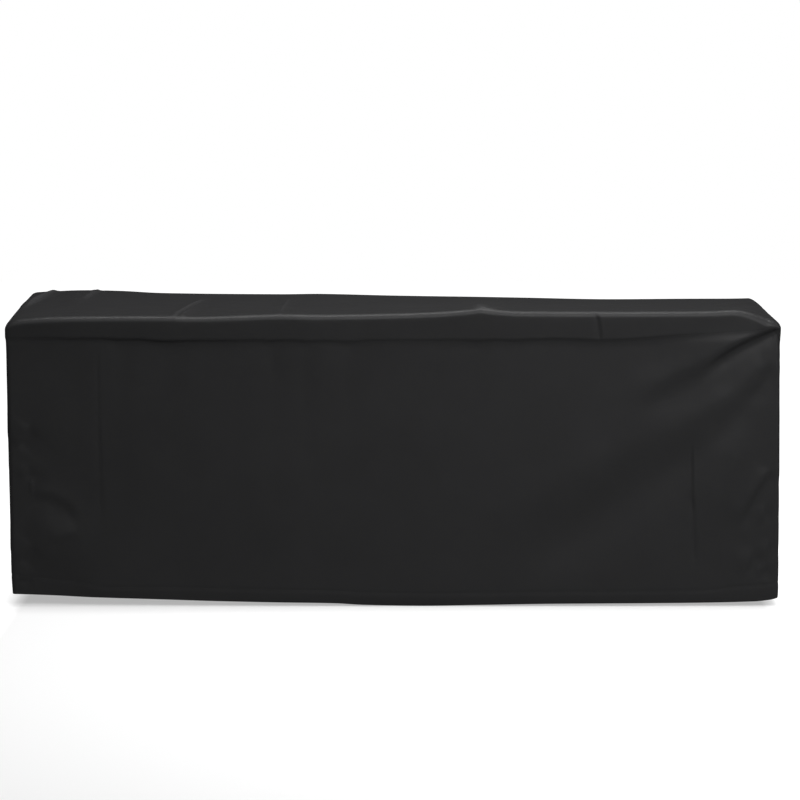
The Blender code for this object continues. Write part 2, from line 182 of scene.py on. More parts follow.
# Height of the stitches of the front hem over its edge.
HEM_LINE_FRONT = (
    Point(-0.70, 0.0360), Point(-0.66, 0.0320), Point(-0.58, 0.0270), Point(-0.54, 0.0200),
    Point(-0.40, 0.0235), Point(0.56, 0.0225), Point(0.63, 0.0290), Point(0.70, 0.0290),
)

# Folds of a drop: each runs along a bowed line from a first to a second point. `ridge` lifts the line
# itself, `step` lifts its left side and lowers its right side, and both die away over the shares
# `fade` of the run. On the front a point's place is measured across the width from the middle.
Fold = namedtuple("Fold", "place0 height0 place1 height1 bow width0 width1 ridge step fade0 fade1")

FRONT_FOLDS = (
    # drag folds that run down from the right top corner
    Fold(0.520, -0.131, 0.698, -0.029, 0.009, 0.013, 0.007, 0.0003, 0.0006, 0.40, 0.08),
    Fold(0.420, -0.174, 0.600, -0.083, 0.004, 0.022, 0.015, 0.0005, 0.0012, 0.40, 0.35),
    Fold(0.470, -0.112, 0.690, -0.030, 0.012, 0.034, 0.014, 0.0010, 0.0000, 0.45, 0.15),
    Fold(0.577, -0.188, 0.682, -0.084, -0.015, 0.022, 0.012, 0.0000, 0.0014, 0.35, 0.20),
    Fold(0.430, -0.320, 0.640, -0.160, 0.009, 0.036, 0.020, 0.0000, 0.0022, 0.35, 0.25),
    # broad valley and swell to the right of the middle
    Fold(0.250, -0.470, 0.575, -0.205, 0.010, 0.060, 0.045, -0.0045, 0.0000, 0.35, 0.30),
    Fold(0.180, -0.455, 0.500, -0.248, 0.000, 0.048, 0.044, 0.0000, 0.0034, 0.40, 0.35),
    Fold(0.570, -0.420, 0.655, -0.190, 0.010, 0.040, 0.032, 0.0028, 0.0000, 0.35, 0.35),
    # the lower left corner lies back
    Fold(-0.700, -0.430, -0.540, -0.480, 0.000, 0.046, 0.040, 0.0000, 0.0042, 0.30, 0.45),
)

# Drags: narrow steps in pulled cloth, which stands out a little on their left side, lies back on
# their right side and comes back to its place far from them.
FRONT_DRAGS = (
    Fold(0.552, -0.111, 0.703, -0.026, 0.010, 0.0064, 0.0038, 0.0000, 0.0050, 0.35, 0.06),
    Fold(0.440, -0.166, 0.590, -0.084, 0.002, 0.0120, 0.0080, 0.0000, 0.0014, 0.40, 0.30),
    Fold(0.640, -0.158, 0.688, -0.084, -0.004, 0.0060, 0.0040, 0.0000, 0.0009, 0.40, 0.25),
)

# Short folds, marks and dents of the same kind near the upright edges.
EDGE_MARKS = (
    # down the right edge
    Fold(0.626, -0.393, 0.691, -0.284, 0.003, 0.0062, 0.0050, 0.0000, 0.0034, 0.30, 0.15),
    Fold(0.674, -0.389, 0.681, -0.347, 0.000, 0.0040, 0.0040, 0.0000, 0.0016, 0.45, 0.45),
    Fold(0.678, -0.458, 0.689, -0.411, 0.000, 0.0040, 0.0040, 0.0000, 0.0019, 0.45, 0.45),
    Fold(0.640, -0.484, 0.664, -0.428, 0.000, 0.0070, 0.0050, 0.0000, 0.0026, 0.45, 0.45),
    Fold(0.668, -0.486, 0.686, -0.460, 0.002, 0.0045, 0.0040, 0.0000, 0.0019, 0.45, 0.45),
    # down the left edge
    Fold(-0.690, -0.244, -0.658, -0.204, 0.000, 0.0060, 0.0060, 0.0000, 0.0025, 0.30, 0.30),
    Fold(-0.678, -0.302, -0.666, -0.278, 0.000, 0.0050, 0.0050, 0.0000, 0.0015, 0.30, 0.30),
    Fold(-0.663, -0.332, -0.663, -0.300, 0.000, 0.0030, 0.0030, 0.0012, 0.0000, 0.30, 0.30),
    Fold(-0.668, -0.334, -0.572, -0.382, 0.017, 0.0060, 0.0075, 0.0000, 0.0026, 0.20, 0.30),
    Fold(-0.634, -0.424, -0.574, -0.404, 0.002, 0.0060, 0.0060, 0.0000, 0.0018, 0.30, 0.35),
    Fold(-0.690, -0.456, -0.660, -0.422, 0.000, 0.0060, 0.0060, 0.0000, 0.0024, 0.25, 0.30),
    Fold(-0.688, -0.491, -0.668, -0.483, 0.000, 0.0040, 0.0040, 0.0000, 0.0014, 0.30, 0.30),
)

# Creases pressed into the front where it lay folded.
FRONT_CREASES = (
    Fold(-0.5365, -0.056, -0.5365, -0.250, 0.000, 0.0035, 0.0040, -0.0002, 0.0002, 0.15, 0.20),
    Fold(-0.5370, -0.190, -0.5350, -0.430, 0.000, 0.0048, 0.0056, -0.0004, 0.0003, 0.20, 0.45),
    Fold(0.5430, -0.235, 0.5440, -0.370, 0.000, 0.0036, 0.0040, -0.0014, 0.0005, 0.20, 0.25),
    Fold(0.5440, -0.320, 0.5500, -0.468, 0.000, 0.0048, 0.0050, -0.0016, 0.0004, 0.20, 0.25),
)

# Crease that runs from the top edge over the border of the front.
LIP_CREASES = (
    Fold(0.366, 0.006, 0.376, -0.052, 0.003, 0.0035, 0.0040, -0.0014, 0.0008, 0.15, 0.20),
)

BACK_FOLDS = (
    Fold(0.420, -0.200, 0.685, -0.050, 0.012, 0.034, 0.014, 0.0020, 0.0040, 0.40, 0.10),
    Fold(-0.685, -0.050, -0.500, -0.210, -0.010, 0.012, 0.030, 0.0020, -0.0036, 0.10, 0.40),
    Fold(-0.230, -0.500, -0.180, -0.130, 0.012, 0.050, 0.040, 0.0045, 0.0000, 0.25, 0.40),
    Fold(0.170, -0.520, 0.210, -0.160, -0.010, 0.055, 0.040, -0.0050, 0.0000, 0.20, 0.40),
)

LEFT_FOLDS = (
    Fold(-0.020, -0.505, 0.030, -0.120, 0.008, 0.050, 0.035, -0.0055, 0.0000, 0.15, 0.40),
    Fold(-0.165, -0.060, -0.040, -0.230, 0.006, 0.010, 0.028, 0.0012, -0.0028, 0.10, 0.45),
)

RIGHT_FOLDS = (
    Fold(-0.165, -0.050, -0.050, -0.210, 0.006, 0.010, 0.026, 0.0008, -0.0022, 0.20, 0.45),
    Fold(0.050, -0.510, 0.020, -0.150, 0.008, 0.048, 0.035, -0.0050, 0.0000, 0.15, 0.40),
)

# Folds of the top, in plan: place across the width and place in depth. They lift and lower its height.
TOP_FOLDS = (
    Fold(-0.376, -0.185, -0.352, 0.130, 0.006, 0.012, 0.016, 0.0018, 0.0016, 0.05, 0.35),
    Fold(-0.202, -0.185, -0.196, 0.160, -0.004, 0.010, 0.014, 0.0012, 0.0014, 0.05, 0.40),
    Fold(-0.690, -0.020, -0.640, 0.175, 0.006, 0.012, 0.010, 0.0030, 0.0020, 0.30, 0.10),
    Fold(-0.605, -0.060, -0.575, 0.175, 0.000, 0.016, 0.014, 0.0022, 0.0014, 0.35, 0.10),
    Fold(0.165, -0.185, 0.188, -0.040, 0.000, 0.016, 0.016, 0.0022, 0.0000, 0.05, 0.50),
    Fold(0.585, -0.150, 0.690, 0.050, 0.006, 0.018, 0.012, 0.0016, 0.0020, 0.30, 0.15),
)

# Finer creases of the top, in plan as its folds.
TOP_CREASES = (
    Fold(-0.398, -0.198, -0.352, 0.110, 0.003, 0.0044, 0.0036, 0.0018, 0.0005, 0.10, 0.35),
    Fold(-0.384, -0.192, -0.372, -0.080, 0.000, 0.0030, 0.0030, 0.0008, 0.0000, 0.15, 0.45),
    Fold(-0.2050, -0.192, -0.198, 0.090, 0.000, 0.0020, 0.0030, 0.0008, 0.0003, 0.15, 0.45),
    Fold(-0.690, -0.060, -0.655, 0.185, 0.004, 0.0040, 0.0075, 0.0030, 0.0010, 0.35, 0.05),
    Fold(-0.588, 0.020, -0.572, 0.185, 0.000, 0.0030, 0.0050, 0.0018, 0.0010, 0.40, 0.05),
    Fold(-0.609, 0.090, -0.605, 0.175, 0.000, 0.0025, 0.0025, 0.0008, 0.0000, 0.30, 0.20),
    Fold(0.158, -0.196, 0.161, -0.050, 0.000, 0.0130, 0.0040, 0.0020, 0.0000, 0.02, 0.60),
    Fold(0.176, -0.192, 0.200, -0.110, 0.000, 0.0030, 0.0030, 0.0008, 0.0000, 0.05, 0.40),
)

# The top sinks towards its front corners, where nothing holds it up, on a slope that starts at a line
# across the corner.
Sink = namedtuple("Sink", "side depth reach_across reach_back bend")
CORNER_SINKS = (Sink(1, 0.0235, 0.088, 0.380, 1.5), Sink(-1, 0.0060, 0.030, 0.300, 2.0))

# Places where the drop is pulled in deeper under the border, and the border droops over it.
Scallop = namedtuple("Scallop", "place half_width droop pull")
SCALLOPS = (
    Scallop(-0.582, 0.022, 0.0012, 0.0010), Scallop(-0.495, 0.018, 0.0010, 0.0010),
    Scallop(-0.414, 0.030, 0.0020, 0.0014), Scallop(-0.221, 0.016, 0.0010, 0.0010),
    Scallop(-0.160, 0.016, 0.0012, 0.0010), Scallop(-0.080, 0.020, 0.0016, 0.0012),
    Scallop(0.154, 0.020, 0.0012, 0.0008), Scallop(0.220, 0.018, 0.0008, 0.0006),
)

# Gentle unevenness of hanging cloth: size of its waves in metres, height, and a seed for each layer.
Ripple = namedtuple("Ripple", "across along height seed")
RIPPLES = (
    Ripple(0.110, 0.160, 0.0007, 11), Ripple(0.048, 0.070, 0.0003, 12), Ripple(0.020, 0.026, 0.00008, 13),
)
RIPPLE_CELLS = 64       # random heights along each side of a layer, after which it repeats
RIPPLE_SHIFT = 1000.0   # keeps the places in a layer positive

# Finish of the cloth and its thread
DYE_RANGE = (0.86, 1.14)        # how unevenly the cloth took its dye
MATT_SPREAD = 0.05      # how much its roughness varies
CLOTH_LUSTRE = 0.16
TOP_ROUGHNESS = 0.42
DROP_ROUGHNESS = 0.45
THREAD_ROUGHNESS = 0.5
THREAD_LUSTRE = 0.3

# Studio
FLOOR_HEIGHT = CAD_BOX[0][2] - 0.001
GLOW_BESIDE = (0.680, 0.730)    # distances from the middle between which the floor's glow grows sideways
GLOW_BEHIND = (0.100, 0.300)    # and backwards
FLOOR_ROUGHNESS = 0.9
KEY_DIRECTION = (-0.062, 0.704, -0.707)
KEY_ANGLE = 45          # degrees of sky that the key light fills
CAMERA_PLACE = (0.0127, -5.25, 0.478)
CAMERA_TILT = 7.15      # degrees below level
CAMERA_LENS = 126.1     # millimetres, on a sensor of the next width
CAMERA_SENSOR = 36.0
CAMERA_SIGHT = 60.0     # furthest distance that it sees

Softbox = namedtuple("Softbox", "name place aim size")
OVERHEAD_BOX = Softbox("overhead", (0.20, -0.15, 1.5), (0.20, -0.19, 0.0), (2.2, 0.35))
FRONT_BOX = Softbox("front", (0.50, -1.6, 0.80), (0.30, -0.19, -0.25), (1.2, 0.8))
SIDE_BOX = Softbox("side", (2.4, -1.6, 0.6), (0.3, -0.19, -0.2), (1.0, 1.2))


class CoverSizes(bpy.types.PropertyGroup):
    """Sizes of the cloth and its sewing."""

    cloth: bpy.props.FloatProperty(
        name="Cloth thickness", description="Thickness of a panel's cloth",
        default=0.0011, min=0.0004, max=0.002, unit="LENGTH", precision=4,
    )
    seam_gap: bpy.props.FloatProperty(
        name="Seam gap", description="Distance between two panels at the seam that joins them",
        default=0.00012, min=0.00005, max=0.0006, unit="LENGTH", precision=5,
    )
    lip_turn: bpy.props.FloatProperty(
        name="Border turn", description="Height over which the border turns in to the cross seam",
        default=0.0030, min=0.001, max=0.008, unit="LENGTH", precision=4,
    )
    hem_depth: bpy.props.FloatProperty(
        name="Hem depth", description="Height of the hem's stitches over its edge along the back",
        default=0.0235, min=0.010, max=0.040, unit="LENGTH", precision=4,
    )
    hem_fold: bpy.props.FloatProperty(
        name="Hem fold", description="Radius of the folded edge of the hem",
        default=0.00125, min=0.0008, max=0.003, unit="LENGTH", precision=5,
    )
    hem_groove: bpy.props.FloatProperty(
        name="Hem groove", description="How deep the hem stitches pull the cloth in",
        default=0.0006, min=0.0, max=0.002, unit="LENGTH", precision=4,
    )
    stitch_pitch: bpy.props.FloatProperty(
        name="Stitch pitch", description="Distance from one stitch to the next",
        default=0.0036, min=0.002, max=0.008, unit="LENGTH", precision=4,
    )
    thread: bpy.props.FloatProperty(
        name="Thread thickness", description="Thickness of the sewing thread",
        default=0.0005, min=0.0002, max=0.001, unit="LENGTH", precision=5,
    )


class CoverLooks(bpy.types.PropertyGroup):
    """Colours and finish of the cloth and the thread."""

    # Painted shade: the top's cloth is the drops' black, set a little darker to offset the stronger light
    # from above.
    top_colour: bpy.props.FloatVectorProperty(
        name="Top cloth", description="Colour of the top's cloth",
        subtype="COLOR", size=3, min=0.0, max=1.0, default=(0.0168, 0.0168, 0.0173),
    )
    drop_colour: bpy.props.FloatVectorProperty(
        name="Drop cloth", description="Colour of the cloth of the drops",
        subtype="COLOR", size=3, min=0.0, max=1.0, default=(0.0176, 0.0176, 0.0182),
    )
    thread_colour: bpy.props.FloatVectorProperty(
        name="Thread", description="Colour of the sewing thread",
        subtype="COLOR", size=3, min=0.0, max=1.0, default=(0.018, 0.018, 0.019),
    )
    # Painted highlight: how much lighter the cloth is painted along the top's creases, where light would
    # catch them.
    crease_highlight_gain: bpy.props.FloatProperty(
        name="Rubbed creases", description="How much paler the cloth is where a crease of the top is rubbed",
        default=1.7, min=1.0, max=3.0,
    )
    weave_pitch: bpy.props.FloatProperty(
        name="Weave pitch", description="Distance between neighbouring yarns of the cloth",
        default=0.0009, min=0.0004, max=0.003, unit="LENGTH", precision=5,
    )


class CoverStudio(bpy.types.PropertyGroup):
    """Floor, lights and camera."""

    floor_colour: bpy.props.FloatVectorProperty(
        name="Floor", description="Colour of the plain floor",
        subtype="COLOR", size=3, min=0.0, max=1.0, default=(0.47, 0.47, 0.47),
    )
    floor_bounce: bpy.props.FloatProperty(
        name="Floor bounce", description="Share of its light that the floor throws back onto the cover",
        default=0.57, min=0.0, max=1.0, subtype="FACTOR",
    )
    glow_near: bpy.props.FloatProperty(
        name="Glow in front", description="Light that the paper sends to the camera in front of the cover",
        default=0.44, min=0.0, max=2.0,
    )
    glow_far: bpy.props.FloatProperty(
        name="Glow around", description="Light that the paper sends to the camera beside and behind it",
        default=0.98, min=0.0, max=2.0,
    )
    floor_size: bpy.props.FloatProperty(
        name="Floor size", description="Side of the square floor",
        default=14.0, min=4.0, max=40.0, unit="LENGTH",
    )
    key_strength: bpy.props.FloatProperty(
        name="Key light", description="Strength of the broad key light",
        default=0.95, min=0.0, max=20.0,
    )
    overhead_power: bpy.props.FloatProperty(
        name="Overhead light", description="Power of the strip softbox over the front edge",
        default=40.0, min=0.0, max=400.0, unit="POWER",
    )
    front_power: bpy.props.FloatProperty(
        name="Front light", description="Power of the softbox in front at the right",
        default=17.0, min=0.0, max=400.0, unit="POWER",
    )
    side_power: bpy.props.FloatProperty(
        name="Side light", description="Power of the softbox at the right",
        default=12.0, min=0.0, max=400.0, unit="POWER",
    )
    air: bpy.props.FloatProperty(
        name="Room light", description="Strength of the even light of the room on the cover",
        default=0.05, min=0.0, max=1.0,
    )


def ease(share):
    """From 0 to 1 with level ends."""
    share = np.clip(share, 0.0, 1.0)
    return share * share * (3 - 2 * share)


def read_line(points, place):
    """Heights of a smooth curve through a table of points."""
    places, heights = np.array(points).T
    before = np.concatenate(([0], np.arange(len(points) - 1)))
    after = np.concatenate((np.arange(1, len(points)), [len(points) - 1]))
    slopes = (heights[after] - heights[before]) / (places[after] - places[before])
    place = np.clip(place, places[0], places[-1])
    i = np.clip(np.searchsorted(places, place) - 1, 0, len(points) - 2)
    span = places[i + 1] - places[i]
    t = (place - places[i]) / span
    return (
        (2 * t ** 3 - 3 * t ** 2 + 1) * heights[i]
        + (t ** 3 - 2 * t ** 2 + t) * span * slopes[i]
        + (3 * t ** 2 - 2 * t ** 3) * heights[i + 1]
        + (t ** 3 - t ** 2) * span * slopes[i + 1]
    )


def across_fold(fold, place, height):
    """Distance of points to the left of a fold, in its widths, and its strength beside them."""
    run_x = fold.place1 - fold.place0
    run_z = fold.height1 - fold.height0
    length = math.hypot(run_x, run_z)
    x = place - fold.place0
    z = height - fold.height0
    t = (x * run_x + z * run_z) / length ** 2
    side = (z * run_x - x * run_z) / length - fold.bow * 4 * t * (1 - t)
    across = side / np.maximum(fold.width0 + (fold.width1 - fold.width0) * t, 0.0005)
    return across, ease(t / fold.fade0) * ease((1 - t) / fold.fade1)


def fold_height(fold, place, height):
    """What one fold adds at points of its panel."""
    across, strength = across_fold(fold, place, height)
    rise = fold.ridge * np.exp(-across ** 2)
    tilt = fold.step * across * np.exp((1 - across ** 2) / 2)
    return strength * (rise + tilt)


def drag_height(fold, place, height, reach, sinks):
    """What one drag adds: a narrow step with a long way back on both sides."""
    across, strength = across_fold(fold, place, height)
    rise = fold.ridge * np.exp(-across ** 2)
    step = fold.step * (np.tanh(across) - sinks) / (1 + (across / reach) ** 2)
    return strength * (rise + step)


def ripple_height(ripple, place, height):
    """Smooth random waves, the same on each run."""
    cells = np.random.default_rng(ripple.seed).uniform(-1.0, 1.0, (RIPPLE_CELLS, RIPPLE_CELLS))
    a = place / ripple.across + RIPPLE_SHIFT
    b = height / ripple.along + RIPPLE_SHIFT
    column, row = np.floor(a).astype(int), np.floor(b).astype(int)
    share_a, share_b = ease(a - column), ease(b - row)

    def corner(step_a, step_b):
        return cells[(row + step_b) % RIPPLE_CELLS, (column + step_a) % RIPPLE_CELLS]

    low = corner(0, 0) * (1 - share_a) + corner(1, 0) * share_a
    high = corner(0, 1) * (1 - share_a) + corner(1, 1) * share_a
    return ripple.height * (low * (1 - share_b) + high * share_b)


def wrap(u):
    """Distance along the outline, kept within half a turn of the middle of the front."""
    return (u + OUTLINE / 2) % OUTLINE - OUTLINE / 2


def outline(u):
    """Points of the rounded outline in plan at distances along it, and their outward directions."""
    u = wrap(u)
    side = np.where(u >= 0, 1.0, -1.0)
    rest = np.abs(u)
    past_front = rest - STRAIGHT_X
    past_corner = past_front - CORNER_ARC
    past_end = past_corner - 2 * STRAIGHT_Y
    past_back_corner = past_end - CORNER_ARC
    angle = (np.clip(past_front, 0, CORNER_ARC) + np.clip(past_end, 0, CORNER_ARC)) / CORNER_RADIUS
    out_x = side * np.sin(angle)
    out_y = -np.cos(angle)
    x = side * (np.minimum(rest, STRAIGHT_X) - np.maximum(past_back_corner, 0)) + CORNER_RADIUS * out_x
    y = np.clip(past_corner, 0, 2 * STRAIGHT_Y) - STRAIGHT_Y + CORNER_RADIUS * out_y
    return x, y, out_x, out_y


def square_corner(out_x, out_y):
    """How much further out a squared corner reaches than a round one, by its outward direction."""
    total = np.abs(out_x) ** CORNER_SQUARE + np.abs(out_y) ** CORNER_SQUARE
    return np.where(total > 0, total, 1.0) ** (-1 / CORNER_SQUARE)


def share_of_depth(y):
    """0 at the front edge, 1 at the back edge."""
    return np.clip((y + HALF_DEPTH) / DEPTH, 0.0, 1.0)


def top_relief(x, y):
    """Height of the top's twist, folds and sunk corners."""
    back = share_of_depth(y)
    height = (1 - back) * read_line(FRONT_EDGE, x) + back * read_line(BACK_EDGE, x)
    for fold in TOP_FOLDS + TOP_CREASES:
        height = height + fold_height(fold, x, y)
    for sink in CORNER_SINKS:
        inward = (HALF_WIDTH - sink.side * x) / sink.reach_across + back * DEPTH / sink.reach_back
        height = height - sink.depth * np.clip(1 - inward, 0, 1) ** sink.bend
    return height


def top_height(x, y):
    """Height of the cloth's outer face over the top."""
    return TOP_CLOTH + top_relief(x, y) - top_relief(np.float64(0.0), np.float64(0.0))


def scallop_sum(x, field):
    """Sum of one field of the scallops at places across the width."""
    total = 0.0
    for scallop in SCALLOPS:
        total = total + getattr(scallop, field) * np.exp(-((x - scallop.place) / scallop.half_width) ** 2)
    return total


def seam_height(u):
    """Height of the cross seam at distances along the outline."""
    x, y, _, _ = outline(u)
    back = share_of_depth(y)
    front = (1 - back) * (read_line(SEAM_FRONT, x) - scallop_sum(x, "droop"))
    return front - back * (SEAM_END - read_line(BACK_EDGE, x) / 2)


def hem_height(u):
    """Height of the hem's edge at distances along the outline."""
    x, y, _, _ = outline(u)
    back = share_of_depth(y)
    return (1 - back) * read_line(HEM_FRONT, x) - back * HEM_BACK


def hem_line(u, sizes):
    """Height of the hem's stitches over its edge."""
    x, y, _, _ = outline(u)
    back = share_of_depth(y)
    return (1 - back) * read_line(HEM_LINE_FRONT, x) + back * sizes.hem_depth


def drop_offset(u, z, sizes):
    """How far the cloth stands out from the plain outline, at distances along it and heights."""
    u = wrap(u)
    x, y, _, _ = outline(u)
    above = z - seam_height(u)
    front = 1 - share_of_depth(y)
    weight = BACK_PULL + (1 - BACK_PULL) * front
    below = np.maximum(-above, 0)
    fall_back = read_line(SEAM_DRAW, x) + front * scallop_sum(x, "pull")
    offset = -weight * fall_back * (1 - np.exp(-below / SEAM_FALL)) * np.exp(-below / SEAM_RECOVER)
    offset = offset + weight * read_line(LIP_PROUD, x) * ease(above / sizes.lip_turn)
    corner = STRAIGHT_X + CORNER_ARC / 2
    for seam in (corner, -corner, BACK_MIDDLE - corner, corner - BACK_MIDDLE):
        draw = np.exp(-((u - seam) / CORNER_SPREAD) ** 2)
        offset = offset - CORNER_DRAW * draw * ease(below / CORNER_START)
    for fold in LIP_CREASES:
        offset = offset + fold_height(fold, u, z)
    growth = ease(-above / FOLD_START)
    for middle, folds in (
        (FRONT_MIDDLE, FRONT_FOLDS + FRONT_CREASES), (BACK_MIDDLE, BACK_FOLDS),
        (LEFT_MIDDLE, LEFT_FOLDS), (RIGHT_MIDDLE, RIGHT_FOLDS),
    ):
        for fold in folds:
            offset = offset + growth * fold_height(fold, wrap(u - middle), z)
    for drag in FRONT_DRAGS:
        offset = offset + drag_height(drag, u, z, DRAG_REACH, DRAG_SINKS)
    for mark in EDGE_MARKS:
        offset = offset + drag_height(mark, u, z, MARK_REACH, 0.0)
    for ripple in RIPPLES:
        offset = offset + growth * ripple_height(ripple, u, z)
    line = hem_line(u, sizes)
    over_edge = z - hem_height(u)
    groove = sizes.hem_groove * np.exp(-((over_edge - line) / HEM_GROOVE_REACH) ** 2)
    tuck = HEM_TUCK * np.clip(1 - over_edge / line, 0, 1) ** 2
    return offset - groove - tuck


def drop_points(u, z, sizes, inward=0.0):
    """Points of a drop, or of a face that lies a little inward of it."""
    x, y, out_x, out_y = outline(u)
    offset = drop_offset(u, z, sizes) - inward + CORNER_RADIUS * (square_corner(out_x, out_y) - 1)
    lean = LEAN * np.clip((seam_height(u) - z) / HEM_BACK, 0, 1)
    return np.stack((x + out_x * offset + lean, y + out_y * offset, z), axis=-1)


def steps_of(runs):
    """Places along a line, from runs of (from, to, size of a step)."""
    places = [runs[0][0]]
    for start, end, step in runs:
        count = max(1, round((end - start) / step))
        places += [start + (end - start) * (k + 1) / count for k in range(count)]
    return np.array(places)


def shares_of(runs):
    """Shares of a height, from runs of (from, to, number of steps)."""
    return steps_of([(start, end, (end - start) / count) for start, end, count in runs])


RINGS = 1 + ROLL_RINGS + BORDER_RINGS
COLUMNS = steps_of(COLUMN_RUNS)
DEPTHS = steps_of(DEPTH_RUNS)


def ring_shape(ring):
    """Angle of a ring of the border round the turn of the edge, and its share of the way to the seam."""
    angle = math.pi / 2 * np.clip((ring - 1) / ROLL_RINGS, 0, 1)
    share = np.clip((ring - 1 - ROLL_RINGS) / BORDER_RINGS, 0, 1)
    return angle, 1 - (1 - share) ** BORDER_CROWDING


def border_places(places):
    """Ring, side and place on the flat of each line of the top's grid."""
    rings = np.concatenate((np.arange(RINGS, 0, -1), np.zeros(len(places)), np.arange(1, RINGS + 1)))
    sides = np.concatenate((-np.ones(RINGS), np.zeros(len(places)), np.ones(RINGS)))
    flat = np.concatenate((np.full(RINGS, places[0]), places, np.full(RINGS, places[-1])))
    return rings, sides, flat


def outline_distance(x, y, out_x, out_y):
    """Distance along the outline of the points that lie outward of points of the flat."""
    side = np.where(x >= 0, 1.0, -1.0)
    arc = np.arctan2(np.abs(out_x), np.abs(out_y)) * CORNER_RADIUS
    corner = side * np.where(y < 0, STRAIGHT_X + arc, BACK_MIDDLE - STRAIGHT_X - arc)
    long_edge = np.where(y < 0, x, BACK_MIDDLE - x)
    end_edge = side * (RIGHT_MIDDLE + y)
    return np.where(out_x == 0, long_edge, np.where(out_y == 0, end_edge, corner))


def crease_highlight_share(points):
    """How strongly each point of the top takes the painted highlight along its creases, from 0 to 1."""
    share = 0.0
    for crease in TOP_CREASES:
        across, strength = across_fold(crease, points[..., 0], points[..., 1])
        share = share + strength * crease.ridge / FULL_HIGHLIGHT_RIDGE * np.exp(-across ** 2)
    on_top = ease((points[..., 1] + HALF_DEPTH) / HIGHLIGHT_START)
    return np.clip(share, 0.0, 1.0) * on_top


def top_points(sizes):
    """Points of the top panel, row by row from front to back."""
    ring_x, side_x, x = border_places(COLUMNS)
    ring_y, side_y, y = border_places(DEPTHS)
    ring_x, ring_y = np.meshgrid(ring_x, ring_y)
    side_x, side_y = np.meshgrid(side_x, side_y)
    x, y = np.meshgrid(x, y)
    ring = np.maximum(ring_x, ring_y)
    larger = np.maximum(ring, 1)
    turn = np.where(ring_x >= ring_y, 0.5 * ring_y / larger, 1 - 0.5 * ring_x / larger) * math.pi / 2
    out_x = np.where(ring_x == 0, 0.0, np.where(ring_y == 0, side_x, side_x * np.cos(turn)))
    out_y = np.where(ring_y == 0, 0.0, np.where(ring_x == 0, side_y, side_y * np.sin(turn)))
    angle, drop = ring_shape(ring)
    u = outline_distance(x, y, out_x, out_y)
    px_outer = x + out_x * CORNER_RADIUS
    edge_top = top_height(px_outer, y + out_y * CORNER_RADIUS)
    seam = seam_height(u) + sizes.seam_gap / 2
    wide = ease((px_outer - ROLL_GROWS[0]) / (ROLL_GROWS[1] - ROLL_GROWS[0]))
    roll = np.minimum(EDGE_ROLL + (CORNER_ROLL - EDGE_ROLL) * wide, ROLL_LIMIT * (edge_top - seam))
    reach = np.where(ring == 0, 0.0, CORNER_RADIUS - roll + roll * np.sin(angle))
    reach = reach + CORNER_RADIUS * (square_corner(out_x, out_y) - 1) * np.sin(angle) ** 2
    px = x + out_x * reach
    py = y + out_y * reach
    z = top_height(px, py) - roll * (1 - np.cos(angle))
    z = z + drop * (seam - z)
    offset = np.where(ring == 0, 0.0, drop_offset(u, z, sizes) * np.sin(angle))
    return np.stack((px + out_x * offset, py + out_y * offset, z), axis=-1)


def drop_panel_points(middle, places, row_runs, sizes):
    """Points of a drop from its hem's turned-in edge, round the folded edge and up to the cross seam."""
    half_corner = CORNER_ARC / 2 * np.arange(1, RINGS + 1) / RINGS
    columns = np.concatenate((
        middle + places[0] - half_corner[::-1], middle + places, middle + places[-1] + half_corner,
    ))
    columns[0] += sizes.seam_gap / 2
    columns[-1] -= sizes.seam_gap / 2
    seam = seam_height(columns) - sizes.seam_gap / 2
    hem = hem_height(columns) + sizes.hem_fold
    turned_in = hem_line(columns, sizes) + HEM_ALLOWANCE - sizes.hem_fold
    rows = [
        drop_points(columns, hem + turned_in * share, sizes, 2 * sizes.hem_fold)
        for share in np.linspace(1.0, 0.0, HEM_INNER_STEPS, endpoint=False)
    ]
    for angle in np.linspace(0.0, math.pi, HEM_FOLD_STEPS, endpoint=False):
        row = drop_points(columns, hem, sizes, sizes.hem_fold * (1 + math.cos(angle)))
        row[:, 2] -= sizes.hem_fold * math.sin(angle)
        rows.append(row)
    rows += [drop_points(columns, seam + (hem - seam) * share, sizes) for share in shares_of(row_runs)[::-1]]
    return np.stack(rows)


def path_lengths(points, axis):
    """Distance along the grid in one direction, at the middle of the other."""
    middle = points.shape[1 - axis] // 2
    line = points[:, middle] if axis == 0 else points[middle]
    steps = np.linalg.norm(np.diff(line, axis=0), axis=1)
    return np.concatenate(([0.0], np.cumsum(steps)))


